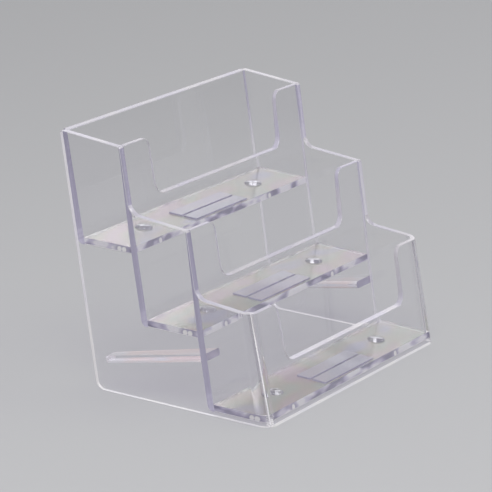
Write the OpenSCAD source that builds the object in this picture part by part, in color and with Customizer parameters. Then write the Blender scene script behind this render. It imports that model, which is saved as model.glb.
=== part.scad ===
// Three-step card and leaflet rack of clear plastic.
// Frame: +Z up, front towards -Y, origin at the middle of the footprint, on the surface it stands on.
// Side profiles are drawn with y = 0 at the front foot and y growing towards the back.

/* [Overall] */
// Width over both side panels at the top of the rear edges
overall_w = 98.6; // [90:0.1:130]
// Outward lean of each side panel, in degrees
side_draft = 0.45; // [0:0.05:1]
// Thickness of each side panel
side_t = 2; // [1.6:0.1:3]

/* [Steps] */
// Height of the lowest lip above the table
lower_lip_z = 32.2; // [31:0.1:36]
// How far the lowest lip stands behind the front foot
foot_run = 7.4; // [5:0.1:9]
// Height from one lip to the next
step_rise = 20.8; // [20:0.1:24]
// Distance from the lower lip back to the middle lip
lower_run = 21.6; // [20:0.1:26]
// Distance from the middle lip back to the upper lip
upper_run = 23; // [20:0.1:26]
// Distance from the upper lip back to the rear edge of the rim
rim_run = 20.75; // [18:0.05:24]
// Slope of the side panels' top edges, in degrees
edge_slope = 5.2; // [3:0.1:7]
// Backward lean of the pocket walls, in degrees
wall_lean = 10.7; // [9:0.1:12]
// Backward lean of the rear edges, in degrees
back_lean = 10.3; // [9:0.1:12]

/* [Walls] */
// Thickness of a pocket wall at its free lip
lip_t = 1.2; // [1:0.1:1.6]
// Thickness of a pocket wall from the pocket floor down
wall_t = 2.1; // [1.8:0.1:2.6]
// Thickness of the back panel at its free edge
back_lip_t = 1.8; // [1.4:0.1:2]
// Thickness of the back panel at the pocket floor
back_t = 2.3; // [2:0.1:2.8]
// Thickness of each pocket floor
floor_t = 2.1; // [1.8:0.1:2.6]
// Height of each lip above its pocket floor
pocket_h = 29.1; // [28:0.1:30]
// Radius of the bend from a wall into the pocket floor, outside
bend_r = 2; // [1:0.1:2]
// Outer radius of the lowest pocket's two front corners
corner_r = 4; // [3:0.1:4.5]
// Inner radius of the same corners
corner_in_r = 2.5; // [1.5:0.1:3]

/* [Side panels] */
// Radius of the hollow corner at the root of each step
root_r = 4; // [2:0.1:6]
// Radius of the top corners, apart from the lowest lip's
tip_r = 0.8; // [0.5:0.1:1.5]
// Radius of the rear foot
heel_r = 3; // [1:0.1:5]

/* [Finger notches] */
// Half of the width of each notch at the lip
notch_half_w = 34.4; // [25:0.1:38]
// How far each side of a notch closes in towards its bottom
notch_taper = 0.6; // [0:0.1:2]
// Depth of each notch below the lip
notch_depth = 16.4; // [10:0.1:20]
// Radius of the two bottom corners of a notch
notch_r = 3.5; // [1:0.1:6]
// Radius of the two shoulders of a notch
shoulder_r = 3; // [1:0.1:5]

/* [Side rails] */
// Width of each rail at its front end, out from the side panel
rail_front_w = 8.4; // [4:0.1:12]
// Width of each rail at its rear end
rail_rear_w = 4.9; // [3:0.1:8]
// Thickness of each rail
rail_t = 2.2; // [1.5:0.1:3]
// Length of each rail
rail_l = 33.2; // [20:0.1:34]
// Height of the underside of the rail where it meets the middle wall
rail_z = 15; // [12:0.1:18]
// How far the rails fall towards the back, in degrees
rail_tilt = 11.9; // [8:0.1:14]
// Radius of the free rear corner of a rail
rail_r = 1.5; // [0.5:0.1:3]

/* [Floor details] */
// Length of the two low bars on each floor
bar_l = 28; // [20:1:50]
// Width of each bar
bar_w = 4.4; // [3:0.1:5]
// Height of each bar
bar_h = 0.5; // [0.3:0.1:1]
// Clear space between the two bars, and between the front bar and the lip's wall
bar_gap = 0.7; // [0.4:0.1:1]
// Diameter of the two round studs on each floor, at the foot and at the top
stud_d = 5.2; // [3:0.1:7]
stud_top_d = 3.2; // [2:0.1:5]
// Height of each stud
stud_h = 0.9; // [0.5:0.1:2]
// Distance of each stud from the middle of the rack
stud_x = 29.5; // [20:0.5:38]

/* [Hidden] */
$fn = 48;
ARC_STEPS = 8;
CUT = 20;
// How many chords a rounded corner's first and last facets run on past the ends of its arc
RUN_ON = 3;

// Wider and taller than the whole rack, for slabs that are cut to size
SLAB_W = 2 * overall_w;
SLAB_H = 200;
depth = foot_run + lower_run + upper_run + rim_run;

// Front top corners of the lips, lower to upper, and the rear top corner, as [y, z]
LOWER = 0;
MIDDLE = 1;
UPPER = 2;
LIPS = [
    [foot_run, lower_lip_z],
    [foot_run + lower_run, lower_lip_z + step_rise],
    [foot_run + lower_run + upper_run, lower_lip_z + 2 * step_rise]
];
REAR_TOP = LIPS[UPPER] + rim_run * [1, tan(edge_slope)];
REAR_FOOT = [REAR_TOP.x - REAR_TOP.y * tan(back_lean), 0];

// Lean of each front wall: the lowest one runs from its lip to the foot
LEANS = [atan(foot_run / lower_lip_z), wall_lean, wall_lean];
// Top faces of the three floors
FLOORS = [for (lip = LIPS) lip.y - pocket_h];

function unit(v) = v / norm(v);

// Points of the arc of radius r that rounds the corner b between its neighbours a and c
function corner_arc(a, b, c, r) =
    let (
        to_a = unit(a - b),
        to_c = unit(c - b),
        half = acos(to_a * to_c) / 2,
        centre = b + unit(to_a + to_c) * r / sin(half),
        start = b + to_a * r / tan(half) - centre,
        side = cross(to_a, to_c) < 0 ? 1 : -1,
        sweep = side * (180 - 2 * half)
    )
    [for (i = [0:ARC_STEPS])
        let (turn = sweep * i / ARC_STEPS)
        centre + [start.x * cos(turn) - start.y * sin(turn), start.x * sin(turn) + start.y * cos(turn)]];

// An outline whose corner i is rounded with radii[i]; 0 keeps it sharp
function rounded(points, radii) =
    let (n = len(points))
    [for (i = [0:n - 1])
        each radii[i] == 0
            ? [points[i]]
            : corner_arc(points[(i + n - 1) % n], points[i], points[(i + 1) % n], radii[i])];

// Front face of front wall k at height z
function front_y(k, z) = LIPS[k].x - (LIPS[k].y - z) * tan(LEANS[k]);

// Rear face of front wall k at height z, below its pocket floor's top
function rear_y(k, z) = front_y(k, z) + wall_t;

// Rear and front faces of the back panel at height z
function back_rear_y(z) = REAR_TOP.x - (REAR_TOP.y - z) * tan(back_lean);
function back_front_y(z) =
    back_rear_y(z) - back_lip_t - (back_t - back_lip_t) * (REAR_TOP.y - z) / (REAR_TOP.y - FLOORS[UPPER]);

// Front face of the wall behind pocket k at height z
function pocket_back_y(k, z) = k == UPPER ? back_front_y(z) : front_y(k + 1, z);

// Distance from the middle of the rack to the outer and the inner face of a side panel at height z
function outer_x(z) = overall_w / 2 - (REAR_TOP.y - z) * tan(side_draft);
function inner_x(z) = outer_x(z) - side_t;

// Slab of a [y, z] outline, right across the rack
module slab(outline) {
    translate([-SLAB_W / 2, -depth / 2, 0])
        rotate([90, 0, 90])
            linear_extrude(SLAB_W)
                polygon(outline);
}

// Prism of an [x, z] outline, right through the rack from front to back
module through(outline) {
    rotate([90, 0, 0])
        linear_extrude(2 * depth, center = true)
            polygon(outline);
}

// Space between the two side panels, which lean outwards
module between_sides() {
    low = -SLAB_H / 2;
    high = SLAB_H;
    through([[-inner_x(low), low], [inner_x(low), low], [inner_x(high), high], [-inner_x(high), high]]);
}

// Slab of a [y, z] outline that reaches from one side panel to the other
module profile(outline) {
    intersection() {
        slab(outline);
        between_sides();
    }
}

// Quarter circle of radius r in the corner at the origin, with its first and last facets run on
function run_on_arc(r) =
    let (arc = corner_arc([0, 1], [0, 0], [1, 0], r))
    [arc[0] + RUN_ON * (arc[0] - arc[1]), each arc,
        arc[ARC_STEPS] + RUN_ON * (arc[ARC_STEPS] - arc[ARC_STEPS - 1])];

// Prism of an outline along an upright corner of the lowest pocket. The corner is at distance x from the
// middle and at y when z is 0, and leans back by that many degrees. Outline points are [in from the side
// panel, back from the front wall]; side is -1 or 1.
module along_corner(side, x, y, lean, outline) {
    translate([side * x, y - depth / 2, 0])
        rotate([-lean, side * side_draft, 0])
            linear_extrude(2 * (lower_lip_z + CUT), center = true)
                polygon([for (p = outline) [-side * p.x, p.y]]);
}

// What the rounding takes off a front corner of the lowest pocket; side is -1 or 1
module corner_cutter(side) {
    arc = run_on_arc(corner_r);
    reach = arc[0].y;
    along_corner(side, outer_x(0), 0, LEANS[LOWER],
        [[-CUT, reach], each arc, [reach, -CUT], [-CUT, -CUT]]);
}

// Hollow fillet inside a front corner of the lowest pocket, from its floor up to its lip
module corner_fillet(side) {
    lip = LIPS[LOWER];
    floor_z = FLOORS[LOWER];
    top = lip + lip_t * [1, tan(edge_slope)];
    slope = (top.x - rear_y(LOWER, floor_z)) / (top.y - floor_z);
    arc = run_on_arc(corner_in_r);
    reach = arc[0].y;
    inset = lip_t / 4;
    intersection() {
        along_corner(side, inner_x(0), top.x - top.y * slope, atan(slope),
            [[-inset, -inset], [-inset, reach], each arc, [reach, -inset]]);
        slab([[0, floor_z], [CUT, floor_z], [CUT, lip.y + (CUT - lip.x) * tan(edge_slope)],
            [0, lip.y - lip.x * tan(edge_slope)]]);
        between_sides();
    }
}

// Stepped side panel with hollow step roots; side is -1 or 1
module side_panel(side) {
    low = -SLAB_H / 2;
    high = SLAB_H;
    // Where the wall above meets the top edge of the step in front of it
    roots = [for (k = [LOWER, MIDDLE])
        let (
            lean = tan(LEANS[k + 1]),
            slope = tan(edge_slope),
            up = LIPS[k + 1],
            low = LIPS[k],
            y = (up.x - up.y * lean + lean * (low.y - low.x * slope)) / (1 - lean * slope)
        )
        [y, low.y + (y - low.x) * slope]];
    difference() {
        intersection() {
            slab(rounded(
                [[0, 0], REAR_FOOT, REAR_TOP, LIPS[UPPER], roots[MIDDLE],
                    LIPS[MIDDLE], roots[LOWER], LIPS[LOWER]],
                [0, heel_r, tip_r, tip_r, root_r, tip_r, root_r, 0]));
            through([[side * inner_x(low), low], [side * outer_x(low), low],
                [side * outer_x(high), high], [side * inner_x(high), high]]);
        }
        corner_cutter(side);
    }
}

// U-shaped cutter with round shoulders, laid along the sloping rim of lip k
module notch(k) {
    w = notch_half_w;
    low = w - notch_taper;
    reach = w + 2 * shoulder_r;
    translate([0, LIPS[k].x - depth / 2, LIPS[k].y])
        rotate([90 + edge_slope, 0, 0])
            linear_extrude(CUT, center = true)
                polygon(rounded(
                    [[-reach, 0], [-w, 0], [-low, -notch_depth], [low, -notch_depth],
                        [w, 0], [reach, 0], [reach, CUT], [-reach, CUT]],
                    [0, shoulder_r, notch_r, notch_r, shoulder_r, 0, 0, 0]));
}

// Pocket wall k between the side panels: its lip, its notch, and the stretch below the pocket floor
module front_panel(k) {
    top = LIPS[k];
    floor_z = FLOORS[k];
    // The lowest wall stands on the table; the others end in the bend under the next floor
    low_z = k == LOWER ? 0 : FLOORS[k - 1] - floor_t;
    difference() {
        profile(rounded(
            [top, top + lip_t * [1, tan(edge_slope)], [rear_y(k, floor_z), floor_z],
                [rear_y(k, low_z), low_z], [front_y(k, low_z), low_z]],
            [0, 0, 0, k == LOWER ? 0 : bend_r, 0]));
        notch(k);
        if (k == LOWER)
            for (side = [-1, 1])
                corner_cutter(side);
    }
    if (k == LOWER)
        for (side = [-1, 1])
            corner_fillet(side);
}

// Floor of pocket k, fitted between the wall in front of it and the wall behind it
module pocket_floor(k) {
    top_z = FLOORS[k];
    low_z = top_z - floor_t;
    profile(
        [[rear_y(k, low_z), low_z], [pocket_back_y(k, low_z), low_z],
            [pocket_back_y(k, top_z), top_z], [rear_y(k, top_z), top_z]]);
}

// Back panel of the upper pocket
module back_panel() {
    low_z = FLOORS[UPPER] - floor_t;
    profile(rounded(
        [REAR_TOP, REAR_TOP - back_lip_t * [1, tan(edge_slope)],
            [back_front_y(low_z), low_z], [back_rear_y(low_z), low_z]],
        [0, 0, 0, bend_r]));
}

// Space behind the middle wall, below its pocket floor
module behind_middle_wall() {
    high = FLOORS[MIDDLE];
    slab([[rear_y(MIDDLE, 0), 0], [depth, 0], [depth, high], [rear_y(MIDDLE, high), high]]);
}

// Rail along a side panel under the steps, from the middle wall back; side is -1 or 1
module side_rail(side) {
    outline = rounded(
        [[-side_t, -rail_t], [rail_front_w, -rail_t], [rail_rear_w, rail_l], [-side_t, rail_l]],
        [0, 0, rail_r, 0]);
    intersection() {
        translate([side * inner_x(rail_z), rear_y(MIDDLE, rail_z) - depth / 2, rail_z])
            rotate([-rail_tilt, 0, 0])
                linear_extrude(rail_t)
                    polygon([for (p = outline) [-side * p.x, p.y]]);
        between_sides();
        behind_middle_wall();
    }
}

// Two low bars on the floor of pocket k, along its front wall
module floor_bars(k) {
    for (i = [0, 1])
        translate([-bar_l / 2, rear_y(k, FLOORS[k]) - depth / 2 + bar_gap + i * (bar_w + bar_gap), FLOORS[k]])
            cube([bar_l, bar_w, bar_h]);
}

// Two round studs on the floor of pocket k, halfway between its walls
module floor_studs(k) {
    y = (rear_y(k, FLOORS[k]) + pocket_back_y(k, FLOORS[k])) / 2 - depth / 2;
    for (side = [-1, 1])
        translate([side * stud_x, y, FLOORS[k]])
            cylinder(h = stud_h, d1 = stud_d, d2 = stud_top_d);
}

module left_side_panel() { color("lavender", 0.35) side_panel(-1); }
module right_side_panel() { color("lavender", 0.35) side_panel(1); }
module upper_back_panel() { color("lavender", 0.4) back_panel(); }
module upper_front_panel() { color("lavender", 0.4) front_panel(UPPER); }
module middle_front_panel() { color("lavender", 0.4) front_panel(MIDDLE); }
module lower_front_panel() { color("lavender", 0.4) front_panel(LOWER); }
module upper_floor() { color("gainsboro", 0.6) pocket_floor(UPPER); }
module middle_floor() { color("gainsboro", 0.6) pocket_floor(MIDDLE); }
module lower_floor() { color("gainsboro", 0.6) pocket_floor(LOWER); }
module left_side_rail() { color("mistyrose", 0.6) side_rail(-1); }
module right_side_rail() { color("mistyrose", 0.6) side_rail(1); }
module upper_floor_bars() { color("gainsboro", 0.7) floor_bars(UPPER); }
module middle_floor_bars() { color("gainsboro", 0.7) floor_bars(MIDDLE); }
module lower_floor_bars() { color("gainsboro", 0.7) floor_bars(LOWER); }
module upper_floor_studs() { color("thistle", 0.7) floor_studs(UPPER); }
module middle_floor_studs() { color("thistle", 0.7) floor_studs(MIDDLE); }
module lower_floor_studs() { color("thistle", 0.7) floor_studs(LOWER); }

left_side_panel();
right_side_panel();
upper_back_panel();
upper_front_panel();
middle_front_panel();
lower_front_panel();
upper_floor();
middle_floor();
lower_floor();
left_side_rail();
right_side_rail();
upper_floor_bars();
middle_floor_bars();
lower_floor_bars();
upper_floor_studs();
middle_floor_studs();
lower_floor_studs();
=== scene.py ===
"""Looks of the stepped card rack: clear moulded plastic, with pale lavender light painted on its edges."""

import math

import bmesh
import bpy
from mathutils import Matrix, Vector


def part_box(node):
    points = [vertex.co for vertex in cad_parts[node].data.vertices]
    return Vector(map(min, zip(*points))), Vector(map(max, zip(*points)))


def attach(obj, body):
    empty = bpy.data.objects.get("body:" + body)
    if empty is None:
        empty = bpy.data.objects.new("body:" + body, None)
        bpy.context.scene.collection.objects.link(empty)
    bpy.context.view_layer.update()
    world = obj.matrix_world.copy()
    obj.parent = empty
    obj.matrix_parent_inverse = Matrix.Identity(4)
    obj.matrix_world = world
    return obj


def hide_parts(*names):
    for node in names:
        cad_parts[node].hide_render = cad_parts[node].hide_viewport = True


MM = 0.001

# Camera, measured round the middle of the rack: angles in degrees, lengths in mm
VIEW_AZIMUTH = -58.33
VIEW_ELEVATION = 16.65
VIEW_ROLL = 1.55
VIEW_DISTANCE = 879.2
VIEW_LENS = 216.8
AIM = Vector((0.0, 0.0, 38.0))
PAN_RIGHT = -2.71
PAN_DOWN = 2.17

# Radii of the rounded edges and width of the gap at a joint, in mm
FREE_EDGE_R = 0.22
SIDE_EDGE_R = 0.14
RAIL_EDGE_R = 0.7
BAR_EDGE_R = 0.12
FLOOR_EDGE_R = 0.35
EDGE_SEGMENTS = 3
JOINT_GAP = 0.02

# A face wider than this, in mm, is broad and keeps its flat shading right up to its edges
BROAD = 0.8

# Width in mm of the rim round the root of a rail, painted bright on its lower side
RAIL_RIM = 0.6

# The studs' domes
DOME_RINGS = 8
DOME_SIDES = 32
DOME_FULLNESS = 0.7

# Angles between two faces: sharp enough to be rounded, a crease in the shading, and as good as flat
SHARP = math.radians(30)
CREASE = math.radians(45)
FLAT = math.radians(0.5)

# Distances in metres below which two vertices are one, and an edge is too short to keep
SAME_PLACE = 1e-6
TINY_EDGE = 1e-5

# Parts of a unit normal along an axis: squarely along it, mainly along it, and hardly along it
SQUARE = 0.98
MAINLY = 0.9
HARDLY = 0.3
ROUND_FROM = 0.05
FRONTAL = 0.6
DOWNWARD = 0.5
RIM_TILT = 0.24
RAIL_LEVEL = 0.97
RAIL_SIDE = 0.985

# What lies further out than this from the middle of the rack belongs to a side, in mm
OUTER_X = 40

# Painted glints in the floors' edges, dots of light where the plastic throws the studs' images, in mm
DOT_R = 0.65
DOT_FADE = 0.25
DOT_SHADE_R = 2.4
DOTS_APART = 1.6
DOTS_ASIDE = -4.0
DOTS_FORWARD = 5.0
# Height of the dots, as a share of the floor's thickness
DOT_HEIGHT = 0.45

# Lean of the walls from upright, in degrees, and fall of the rails per mm towards the back
WALL_LEAN = 10.7
RAIL_FALL = 0.21

# Distance of the studs from the middle of the rack, and size of a pocket floor, in mm
STUD_X = 29.5
FLOOR_DEPTH = 16.7
FLOOR_T = 2.1

WALLS = ("upper_back_panel", "upper_front_panel", "middle_front_panel", "lower_front_panel")
SIDES = ("left_side_panel", "right_side_panel")
FLOORS = ("upper_floor", "middle_floor", "lower_floor")
RAILS = ("left_side_rail", "right_side_rail")
BARS = ("upper_floor_bars", "middle_floor_bars", "lower_floor_bars")
STUDS = ("upper_floor_studs", "middle_floor_studs", "lower_floor_studs")

PLASTIC_IOR = 1.5

# A ray that has met this many surfaces is caught inside a sheet, and what it then meets has this colour
CAUGHT_AFTER = 8
CAUGHT_COLOUR = (0.44, 0.43, 0.47)


# ---------------------------------------------------------------- node helpers

def new_material(name):
    """An empty node-based material and its node tree."""
    material = bpy.data.materials.new(name)
    material.use_nodes = True
    material.node_tree.nodes.clear()
    return material, material.node_tree


def add(tree, kind, inputs=None, **settings):
    """A node of that kind with its settings made and its inputs set or linked."""
    node = tree.nodes.new(kind)
    for key, value in settings.items():
        setattr(node, key, value)
    for key, value in (inputs or {}).items():
        if isinstance(value, bpy.types.NodeSocket):
            tree.links.new(value, node.inputs[key])
        else:
            node.inputs[key].default_value = value
    return node


def noise(tree, scale, detail=2.0, stretch=(1, 1, 1)):
    """Noise over the object's own coordinates in mm; scale is in features per mm."""
    place = add(tree, "ShaderNodeTexCoord").outputs["Object"]
    sized = add(tree, "ShaderNodeVectorMath", {0: place, 1: [s / MM for s in stretch]},
                operation="MULTIPLY")
    return add(tree, "ShaderNodeTexNoise",
               {"Vector": sized.outputs[0], "Scale": scale, "Detail": detail})


def ramp(tree, factor, *stops):
    """Colour ramp over two or more stops, each a place and a colour."""
    node = add(tree, "ShaderNodeValToRGB", {"Fac": factor})
    elements = node.color_ramp.elements
    while len(elements) < len(stops):
        elements.new(0.5)
    for element, (place, colour) in zip(elements, stops):
        element.position = place
        element.color = (*colour, 1.0)
    return node.outputs["Color"]


def lit_through(tree, surface, tint):
    """Lets lamps and soft light through a clear surface, tinted, so that its shadow stays light.

    A ray caught inside a sheet meets a plain haze there after a while, so that no facet turns black.
    """
    path = add(tree, "ShaderNodeLightPath")
    light_ray = add(tree, "ShaderNodeMath",
                    {0: path.outputs["Is Shadow Ray"], 1: path.outputs["Is Diffuse Ray"]},
                    operation="MAXIMUM")
    caught = add(tree, "ShaderNodeMath", {0: path.outputs["Ray Depth"], 1: CAUGHT_AFTER},
                 operation="GREATER_THAN")
    haze = add(tree, "ShaderNodeBsdfDiffuse", {"Color": (*CAUGHT_COLOUR, 1.0)})
    seen = add(tree, "ShaderNodeMixShader", {0: caught.outputs[0], 1: surface, 2: haze.outputs[0]})
    passing = add(tree, "ShaderNodeBsdfTransparent", {"Color": (*tint, 1.0)})
    mixed = add(tree, "ShaderNodeMixShader",
                {0: light_ray.outputs[0], 1: seen.outputs[0], 2: passing.outputs[0]})
    return mixed.outputs[0]


def finish_tree(tree, surface):
    add(tree, "ShaderNodeOutputMaterial", {"Surface": surface})


# ---------------------------------------------------------------- materials

EDGE_TINT = (0.94, 0.93, 0.96)
FLOOR_TINT = (0.92, 0.915, 0.93)
SCUFF_GLOSS = 0.05
WAVE_DEPTH = 0.0002


def clear_plastic(name, colour, tint):
    """Polished clear plastic: fine scuffs in its gloss and the faint flow waves of a moulding."""
    material, tree = new_material(name)
    scuffs = noise(tree, 0.8, 4.0, (1, 1, 0.3))
    gloss = add(tree, "ShaderNodeMapRange",
                {0: scuffs.outputs["Fac"], 1: 0.35, 2: 0.7, 3: 0.0, 4: SCUFF_GLOSS})
    waves = noise(tree, 0.03, 1.0)
    bump = add(tree, "ShaderNodeBump",
               {"Height": waves.outputs["Fac"], "Strength": 0.1, "Distance": WAVE_DEPTH})
    glass = add(tree, "ShaderNodeBsdfPrincipled", {
        "Base Color": (*colour, 1.0), "Roughness": gloss.outputs[0], "IOR": PLASTIC_IOR,
        "Transmission Weight": 1.0, "Normal": bump.outputs["Normal"]})
    finish_tree(tree, lit_through(tree, glass.outputs[0], tint))
    return material


def streaked_noise(tree, scale, stretch, lean):
    """Noise drawn out along one direction, over the object's coordinates turned by the lean."""
    place = add(tree, "ShaderNodeTexCoord").outputs["Object"]
    turned = add(tree, "ShaderNodeVectorRotate", {"Vector": place, "Angle": math.radians(lean)},
                 rotation_type="X_AXIS")
    sized = add(tree, "ShaderNodeVectorMath", {0: turned.outputs[0], 1: [v / MM for v in stretch]},
                operation="MULTIPLY")
    streaks = add(tree, "ShaderNodeTexNoise",
                  {"Vector": sized.outputs[0], "Scale": scale, "Detail": 1.0})
    return streaks.outputs["Fac"]


def lit_edge(name, colour_of, transmission):
    """Edge of the plastic: the pale lavender light that the sheet gathers and lets out there is painted
    into its colour.
    """
    material, tree = new_material(name)
    edge = add(tree, "ShaderNodeBsdfPrincipled", {
        "Base Color": colour_of(tree), "Roughness": 0.12, "IOR": PLASTIC_IOR,
        "Transmission Weight": transmission})
    finish_tree(tree, lit_through(tree, edge.outputs[0], EDGE_TINT))
    return material


def edge_plastic(name, scale, transmission, *stops):
    """Edge with painted light and shade in even cloudy changes of colour; scale is in clouds per mm."""
    def colour(tree):
        return ramp(tree, streaked_noise(tree, scale, (1, 1, 1), 0), *stops)
    return lit_edge(name, colour, transmission)


def rising_plastic(name, spread, transmission, *stops):
    """End of a wall: painted streaks of light along it, and painted light that fades with height, from the
    last stop at the foot.
    """
    def colour(tree):
        generated = add(tree, "ShaderNodeTexCoord").outputs["Generated"]
        height = add(tree, "ShaderNodeSeparateXYZ", {0: generated}).outputs["Z"]
        down = add(tree, "ShaderNodeMath", {0: 1.0, 1: height}, operation="SUBTRACT")
        streaks = streaked_noise(tree, 1.0, (0.7, 1.2, 0.05), WALL_LEAN)
        shift = add(tree, "ShaderNodeMapRange", {0: streaks, 1: 0.35, 2: 0.65, 3: -spread, 4: spread})
        place = add(tree, "ShaderNodeMath", {0: down.outputs[0], 1: shift.outputs[0]}, operation="ADD")
        return ramp(tree, place.outputs[0], *stops)
    return lit_edge(name, colour, transmission)


def spot_distance(tree, along, up):
    """Distance in mm from a spot, out of the offsets from it along a seam and up it."""
    place = add(tree, "ShaderNodeCombineXYZ", {0: along, 1: up})
    return add(tree, "ShaderNodeVectorMath", {0: place.outputs[0]}, operation="LENGTH").outputs["Value"]


def affine(tree, value, factor, shift):
    """The value times the factor, plus the shift."""
    scaled = add(tree, "ShaderNodeMath", {0: value, 1: factor, 2: shift}, operation="MULTIPLY_ADD")
    return scaled.outputs[0]


def magnitude(tree, value):
    return add(tree, "ShaderNodeMath", {0: value}, operation="ABSOLUTE").outputs[0]


def seam_plastic(name, transmission, *stops):
    """Edge of a floor: painted dashes of light and shade, and painted glints, bright dots in violet painted
    shade.

    There is one dot near each stud on the front and rear edges, and a pair on each side edge.
    """
    def colour(tree):
        coordinates = add(tree, "ShaderNodeTexCoord")
        x = add(tree, "ShaderNodeSeparateXYZ", {0: coordinates.outputs["Object"]}).outputs["X"]
        inside = add(tree, "ShaderNodeSeparateXYZ", {0: coordinates.outputs["Generated"]})
        aside = magnitude(tree, affine(tree, x, 1 / MM, -DOTS_ASIDE))
        up = affine(tree, inside.outputs["Z"], FLOOR_T, -DOT_HEIGHT * FLOOR_T)
        across = spot_distance(tree, affine(tree, aside, 1.0, -STUD_X), up)
        back = affine(tree, inside.outputs["Y"], FLOOR_DEPTH, DOTS_FORWARD - FLOOR_DEPTH / 2)
        along = spot_distance(tree, affine(tree, magnitude(tree, back), 1.0, -DOTS_APART / 2), up)
        nearest = add(tree, "ShaderNodeMath", {0: across, 1: along}, operation="MINIMUM").outputs[0]
        # Painted glint: a white dot that fades into painted violet shade, which fades into the dashes
        # further out
        spot = ramp(tree, nearest, (DOT_R, GLINT_WHITE), (DOT_R + DOT_FADE, VIOLET))
        share = add(tree, "ShaderNodeMapRange",
                    {0: nearest, 1: DOT_R + DOT_FADE, 2: DOT_SHADE_R, 3: 1.0, 4: 0.0})
        dashes = ramp(tree, streaked_noise(tree, 1.0, (0.14, 0.14, 0.3), 0), *stops)
        # A colour mix has its factor at socket 0, its colours at 6 and 7 and its result at 2
        mixed = add(tree, "ShaderNodeMix", {0: share.outputs[0], 6: dashes, 7: spot}, data_type="RGBA")
        return mixed.outputs[2]
    return lit_edge(name, colour, transmission)


def floor_plastic(name, transmission, *stops):
    """Pocket floor and what stands on it: a slight haze, with faint pastel tints painted in, the colours
    stressed plastic shows in reflected light.
    """
    material, tree = new_material(name)
    tints = noise(tree, 0.11, 1.0, (0.5, 1, 1))
    haze = add(tree, "ShaderNodeBsdfPrincipled", {
        "Base Color": ramp(tree, tints.outputs["Fac"], *stops), "Roughness": 0.1, "IOR": PLASTIC_IOR,
        "Transmission Weight": transmission})
    finish_tree(tree, lit_through(tree, haze.outputs[0], FLOOR_TINT))
    return material


MATERIALS = {}

DUSK = (0.26, 0.24, 0.34)
VIOLET = (0.38, 0.36, 0.48)
LAVENDER = (0.48, 0.45, 0.60)
LILAC = (0.58, 0.55, 0.70)
PALE = (0.70, 0.67, 0.78)
CREAM = (0.76, 0.73, 0.77)
WHITE = (0.90, 0.89, 0.91)
GLINT_WHITE = (0.97, 0.96, 0.93)
WARM = (0.98, 0.86, 0.83)


def make_materials():
    MATERIALS["panel"] = clear_plastic("clear_panel", (0.968, 0.965, 0.977), (0.97, 0.965, 0.98))
    # Painted light: the pale glow of the sheets' top edges and notches
    MATERIALS["lip"] = edge_plastic("panel_lip", 0.08, 0.4, (0.40, PALE), (0.60, CREAM))
    # Painted light: the white line of light along the feet of the sheets and round the floors' lower rims
    MATERIALS["foot"] = edge_plastic("panel_foot", 0.06, 0.1, (0.40, WHITE), (0.60, GLINT_WHITE))
    # Painted light: the glow of the wall ends and the side panels' front edges, violet on the left, white
    # on the right
    MATERIALS["left_end"] = rising_plastic("left_wall_end", 0.2, 0.3,
                                           (0.0, VIOLET), (0.5, LAVENDER), (1.0, LILAC))
    MATERIALS["right_end"] = rising_plastic("right_wall_end", 0.2, 0.2,
                                            (0.0, LAVENDER), (0.4, PALE), (0.8, WHITE))
    # Painted light and shade: dark and bright dashes along the floors' edges, and white glints
    MATERIALS["seam"] = seam_plastic("floor_seam", 0.3,
                                     (0.40, DUSK), (0.46, LAVENDER), (0.53, PALE), (0.57, WHITE))
    # Painted light: warm bright rims round the rails' free edges and the lower side of their roots
    MATERIALS["warm"] = edge_plastic("rail_rim", 0.1, 0.0, (0.40, WARM), (0.60, WHITE))
    # Painted light: the rails' warm bright tops
    MATERIALS["rail_top"] = edge_plastic("rail_top", 0.1, 0.35, (0.40, WARM), (0.60, WHITE))
    # Painted shade: darker sides of the bars
    MATERIALS["bar_side_shade"] = edge_plastic("bar_side", 0.3, 0.6, (0.40, VIOLET), (0.60, LAVENDER))
    # Painted light: pastel tints that the stressed moulding shows in reflected light
    MATERIALS["floor"] = floor_plastic("pocket_floor", 0.7,
                                       (0.36, (0.68, 0.58, 0.62)), (0.44, (0.66, 0.61, 0.54)),
                                       (0.52, (0.58, 0.63, 0.57)), (0.60, (0.66, 0.61, 0.55)),
                                       (0.68, (0.59, 0.59, 0.68)))
    # Painted light: bar tops paler than the floor
    MATERIALS["bar"] = floor_plastic("raised_bar", 0.6,
                                     (0.40, (0.75, 0.73, 0.78)), (0.50, (0.79, 0.75, 0.77)),
                                     (0.60, (0.74, 0.75, 0.78)))
    MATERIALS["stud"] = clear_plastic("round_stud", (0.93, 0.92, 0.97), (0.95, 0.94, 0.97))


# ---------------------------------------------------------------- meshes

def clean_copy(node):
    """The CAD node's mesh as a bmesh with its flat faces whole again."""
    mesh = bmesh.new()
    mesh.from_mesh(bpy.data.meshes[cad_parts[node].data.name])
    bmesh.ops.remove_doubles(mesh, verts=mesh.verts, dist=SAME_PLACE)
    bmesh.ops.dissolve_degenerate(mesh, edges=mesh.edges, dist=TINY_EDGE)
    bmesh.ops.dissolve_limit(mesh, angle_limit=FLAT, verts=mesh.verts, edges=mesh.edges)
    return mesh


def sharp_edges(mesh, bonded):
    """Sharp edges of the mesh that aren't on one of its bonded faces."""
    return [e for e in mesh.edges
            if len(e.link_faces) == 2 and e.calc_face_angle() > SHARP
            and not any(bonded(f) for f in e.link_faces)]


def round_edges(mesh, edges, radius):
    bmesh.ops.bevel(mesh, geom=edges, offset=radius * MM, segments=EDGE_SEGMENTS, profile=0.5,
                    affect="EDGES", clamp_overlap=True)


def width_of(face):
    """About the width of a long narrow face."""
    return 2 * face.calc_area() / face.calc_perimeter()


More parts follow.
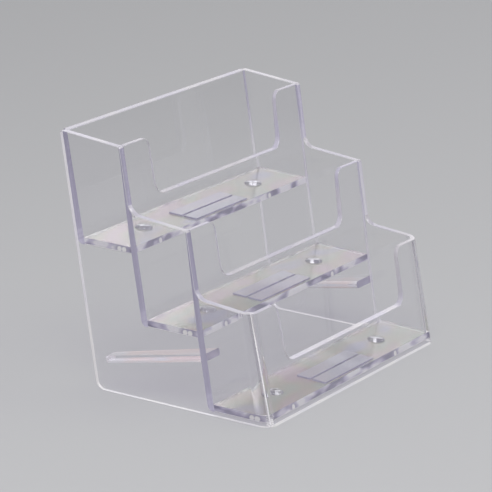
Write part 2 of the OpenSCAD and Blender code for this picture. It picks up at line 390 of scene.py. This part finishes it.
def keep_flat(data, broad):
    """Broad faces stay flat right up to the rounded edges, which turn smoothly between them."""
    faces_at = {}
    for face in data.polygons:
        if broad[face.index]:
            for vertex in face.vertices:
                faces_at.setdefault(vertex, []).append(face.normal.copy())
    normals = []
    for face in data.polygons:
        for corner in face.loop_indices:
            flats = faces_at.get(data.loops[corner].vertex_index, [])
            flats = [n for n in flats if n.angle(face.normal) < CREASE]
            if flats:
                normals.append(max(flats, key=face.normal.dot))
            else:
                normals.append(data.corner_normals[corner].vector.copy())
    data.normals_split_custom_set(normals)


def piece(node, mesh, materials):
    """Makes the piece that stands for a CAD node from a finished bmesh."""
    data = bpy.data.meshes.new(node + "_body")
    mesh.normal_update()
    broad = [width_of(face) > BROAD * MM for face in mesh.faces]
    for edge in mesh.edges:
        edge.smooth = len(edge.link_faces) == 2 and edge.calc_face_angle() < CREASE
    for face in mesh.faces:
        face.smooth = True
    mesh.to_mesh(data)
    mesh.free()
    keep_flat(data, broad)
    for material in materials:
        data.materials.append(MATERIALS[material])
    made = bpy.data.objects.new(node + "_body", data)
    bpy.context.scene.collection.objects.link(made)
    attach(made, "root")
    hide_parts(node)
    return made


# Index that marks the facets of a rounded corner until they get their material
CORNER = 5
# On the right side panel, the corner's facets with a smaller x in their normal gleam like the lip
CORNER_GLEAM = 0.8


def is_outer(face):
    return abs(face.calc_center_median().x) > OUTER_X * MM


def faces_sideways(face):
    return abs(face.normal.x) > SQUARE


def mark_corners(mesh):
    """Marks the upright facets of the rounded front corners, before the edges are rounded."""
    for face in mesh.faces:
        turned = ROUND_FROM < abs(face.normal.x) < SQUARE and abs(face.normal.z) < HARDLY
        face.material_index = CORNER if turned and is_outer(face) else 0


def in_corner(face):
    return face.material_index == CORNER and abs(face.normal.z) < HARDLY


def make_side(node):
    """Side panel: clear faces and rounded front corner; pale lips, lit front edges and a white outline, all
    painted light.
    """
    mesh = clean_copy(node)
    mark_corners(mesh)

    def is_joint(edge):
        return (any(in_corner(f) for f in edge.link_faces)
                and any(faces_sideways(f) for f in edge.link_faces))

    edges = [e for e in sharp_edges(mesh, lambda f: False) if not is_joint(e)]
    round_edges(mesh, edges, SIDE_EDGE_R)
    clear, lip, foot, front = range(4)
    for face in mesh.faces:
        n = face.normal
        if in_corner(face):
            face.material_index = lip if 0 < n.x < CORNER_GLEAM else clear
        elif faces_sideways(face):
            face.material_index = clear
        elif n.z > HARDLY:
            face.material_index = lip
        else:
            face.material_index = front if n.y < -FRONTAL else foot
    end = "left_end" if node.startswith("left") else "right_end"
    return piece(node, mesh, ("panel", "lip", "foot", end))


def make_wall(node):
    """Wall: clear faces, and painted light in a pale lip and notch and in streaked ends at the side panels.
    """
    mesh = clean_copy(node)
    mark_corners(mesh)
    lowest = node == "lower_front_panel"

    def is_end(face):
        return faces_sideways(face) and is_outer(face)

    def is_bonded(face):
        on_floor = lowest and face.normal.z < -MAINLY and face.calc_center_median().z > MM
        return is_end(face) or on_floor

    round_edges(mesh, sharp_edges(mesh, is_bonded), FREE_EDGE_R)
    clear, lip, left_end, foot, right_end = range(5)
    for face in mesh.faces:
        n = face.normal
        if is_end(face) and not lowest:
            face.material_index = left_end if n.x < 0 else right_end
        elif is_end(face) or abs(n.y) > MAINLY or in_corner(face):
            face.material_index = clear
        else:
            face.material_index = lip if n.z > -DOWNWARD else foot
    for vert in mesh.verts:
        if any(is_end(f) for f in vert.link_faces):
            vert.co.x -= math.copysign(JOINT_GAP * MM, vert.co.x)
    return piece(node, mesh, ("panel", "lip", "left_end", "foot", "right_end"))


def make_floor(node):
    """Pocket floor: hazy top and underside, painted light and shade on the edges at the walls, and a
    painted bright lower rim.
    """
    mesh = clean_copy(node)
    lo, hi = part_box(node)
    middle = (lo + hi) / 2
    rim = [e for e in mesh.edges if len(e.link_faces) == 2 and e.calc_face_angle() > SHARP
           and any(f.normal.z < -MAINLY for f in e.link_faces)
           and not any(f.normal.y > MAINLY for f in e.link_faces)]
    round_edges(mesh, rim, FLOOR_EDGE_R)
    hazy, seam, bright = range(3)
    for face in mesh.faces:
        level = abs(face.normal.z)
        face.material_index = hazy if level > SQUARE else bright if level > RIM_TILT else seam
    for vert in mesh.verts:
        vert.co.x -= math.copysign(JOINT_GAP * MM, vert.co.x - middle.x)
        vert.co.y -= math.copysign(JOINT_GAP * MM, vert.co.y - middle.y)
    return piece(node, mesh, ("floor", "seam", "foot"))


def make_bars(node):
    """Low bars: hazy on top, paler there than the floor by painted light, and with painted shade along
    their sides.
    """
    mesh = clean_copy(node)
    round_edges(mesh, sharp_edges(mesh, lambda f: f.normal.z < -MAINLY), BAR_EDGE_R)
    lift_off(mesh)
    top, bar_side_shade = range(2)
    for face in mesh.faces:
        face.material_index = top if face.normal.z > MAINLY else bar_side_shade
    return piece(node, mesh, ("bar", "bar_side_shade"))


def lift_off(mesh):
    """Keeps the underside of a detail just clear of the floor that it stands on."""
    low = min(v.co.z for v in mesh.verts)
    for vert in mesh.verts:
        if vert.co.z < low + SAME_PLACE:
            vert.co.z += JOINT_GAP * MM


def make_studs(node):
    """Round studs: full domes, as wide and as high as the CAD says."""
    solid = clean_copy(node)
    middles = [f.calc_center_median() for f in solid.faces if f.normal.z > MAINLY]
    solid.free()
    lo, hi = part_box(node)
    radius = (hi.y - lo.y) / 2
    mesh = bmesh.new()
    for middle in middles:
        rings = []
        for i in range(DOME_RINGS):
            rise = math.pi / 2 * i / DOME_RINGS
            reach = radius * math.cos(rise)
            z = lo.z + (hi.z - lo.z) * math.sin(rise) ** DOME_FULLNESS
            ring = []
            for k in range(DOME_SIDES):
                turn = 2 * math.pi * k / DOME_SIDES
                x = middle.x + reach * math.cos(turn)
                y = middle.y + reach * math.sin(turn)
                ring.append(mesh.verts.new((x, y, z)))
            rings.append(ring)
        tip = mesh.verts.new((middle.x, middle.y, hi.z))
        mesh.faces.new(rings[0][::-1])
        for k in range(DOME_SIDES):
            after = (k + 1) % DOME_SIDES
            for below, above in zip(rings, rings[1:]):
                mesh.faces.new((below[k], below[after], above[after], above[k]))
            mesh.faces.new((rings[-1][k], rings[-1][after], tip))
    lift_off(mesh)
    return piece(node, mesh, ("stud",))


def make_rail(node):
    """Rail: clear, with painted warm light round its free edges, along the lower side of its root and on
    its top.
    """
    mesh = clean_copy(node)
    side = -1 if node.startswith("left") else 1

    def on_panel(face):
        return face.normal.x * side > SQUARE

    def on_wall(face):
        return face.normal.y < -MAINLY

    round_edges(mesh, sharp_edges(mesh, lambda f: on_panel(f) or on_wall(f)), RAIL_EDGE_R)
    root = [f for f in mesh.faces if on_panel(f)]
    rim = bmesh.ops.inset_region(mesh, faces=root, thickness=RAIL_RIM * MM)["faces"]
    middle = sum((f.calc_center_median() for f in root), Vector()) / len(root)
    clear, end, warm, top = range(4)
    for face in mesh.faces:
        n = face.normal
        if on_wall(face):
            face.material_index = end
        # Painted light: the rim round the root is bright only on its lower side
        elif face in rim:
            below = face.calc_center_median() - middle
            face.material_index = warm if below.z + below.y * RAIL_FALL < 0 else clear
        elif n.z > RAIL_LEVEL:
            face.material_index = top
        else:
            flat = n.z < -RAIL_LEVEL or n.y > RAIL_LEVEL or abs(n.x) > RAIL_SIDE
            face.material_index = clear if flat else warm
    for vert in mesh.verts:
        if any(on_panel(f) for f in vert.link_faces):
            vert.co.x -= side * JOINT_GAP * MM
        if any(on_wall(f) for f in vert.link_faces):
            vert.co.y += JOINT_GAP * MM
    return piece(node, mesh, ("panel", "left_end", "warm", "rail_top"))


# ---------------------------------------------------------------- stage, lamps, camera

TABLE_COLOUR = (0.53, 0.53, 0.54)
TABLE_SIZE = 12
TABLE_DROP = 0.00005
WORLD_COLOUR = (0.55, 0.555, 0.57)
WORLD_STRENGTH = 0.6
LAMPS_AIM = Vector((0, 0, 0.04))
SENSOR_WIDTH = 36.0


def make_stage():
    material, tree = new_material("table_top")
    table = add(tree, "ShaderNodeBsdfPrincipled", {
        "Base Color": (*TABLE_COLOUR, 1.0), "Roughness": 0.9, "Specular IOR Level": 0.1})
    finish_tree(tree, table.outputs[0])
    bpy.ops.mesh.primitive_plane_add(size=TABLE_SIZE, location=(0, 0, -TABLE_DROP))
    plane = bpy.context.object
    plane.name = "table_top"
    plane.data.materials.append(material)


def make_world():
    world = bpy.data.worlds.new("studio")
    bpy.context.scene.world = world
    world.use_nodes = True
    tree = world.node_tree
    tree.nodes.clear()
    sky = add(tree, "ShaderNodeBackground", {"Color": (*WORLD_COLOUR, 1.0), "Strength": WORLD_STRENGTH})
    add(tree, "ShaderNodeOutputWorld", {"Surface": sky.outputs[0]})


def area_lamp(name, place, size, power):
    data = bpy.data.lights.new(name, "AREA")
    data.shape = "RECTANGLE"
    data.size, data.size_y = size
    data.energy = power
    lamp = bpy.data.objects.new(name, data)
    bpy.context.scene.collection.objects.link(lamp)
    lamp.location = place
    lamp.rotation_euler = (LAMPS_AIM - Vector(place)).to_track_quat("-Z", "Y").to_euler()


def make_lamps():
    area_lamp("key", (-0.55, -0.25, 1.0), (0.6, 0.6), 8.0)
    area_lamp("fill", (0.7, -0.7, 0.8), (0.8, 0.5), 4.0)
    area_lamp("window", (0.98, 0.6, 0.44), (0.9, 0.5), 1.3)


def make_camera():
    """Camera at the photo's angle: azimuth 0 looks along +Y."""
    a, e = math.radians(VIEW_AZIMUTH), math.radians(VIEW_ELEVATION)
    back = Vector((math.sin(a) * math.cos(e), -math.cos(a) * math.cos(e), math.sin(e)))
    right = Vector((math.cos(a), math.sin(a), 0.0))
    up = back.cross(right)
    roll = math.radians(VIEW_ROLL)
    right, up = (right * math.cos(roll) + up * math.sin(roll),
                 up * math.cos(roll) - right * math.sin(roll))
    data = bpy.data.cameras.new("camera")
    data.sensor_width = SENSOR_WIDTH
    data.lens = VIEW_LENS
    data.clip_start, data.clip_end = 0.01, 20.0
    camera = bpy.data.objects.new("camera", data)
    bpy.context.scene.collection.objects.link(camera)
    place = (AIM + back * VIEW_DISTANCE + right * PAN_RIGHT - up * PAN_DOWN) * MM
    turn = Matrix((right, up, back)).transposed().to_4x4()
    camera.matrix_world = Matrix.Translation(place) @ turn
    bpy.context.scene.camera = camera


def set_light_paths():
    """Enough bounces for a ray that crosses every wall of the rack."""
    cycles = bpy.context.scene.cycles
    cycles.max_bounces = 32
    cycles.transmission_bounces = 32
    cycles.transparent_max_bounces = 48
    cycles.glossy_bounces = 12


# ---------------------------------------------------------------- the rack

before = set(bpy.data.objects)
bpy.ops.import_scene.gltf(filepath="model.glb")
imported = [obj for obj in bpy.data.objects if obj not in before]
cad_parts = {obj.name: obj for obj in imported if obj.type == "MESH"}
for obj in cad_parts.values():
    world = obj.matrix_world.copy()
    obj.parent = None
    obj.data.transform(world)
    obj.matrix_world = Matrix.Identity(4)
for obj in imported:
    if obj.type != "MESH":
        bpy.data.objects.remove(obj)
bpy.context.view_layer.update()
bpy.context.scene.view_settings.view_transform = "Standard"
make_camera()
make_materials()
for node in SIDES:
    make_side(node)
for node in WALLS:
    make_wall(node)
for node in FLOORS:
    make_floor(node)
for node in RAILS:
    make_rail(node)
for node in BARS:
    make_bars(node)
for node in STUDS:
    make_studs(node)
make_stage()
make_world()
make_lamps()
set_light_paths()
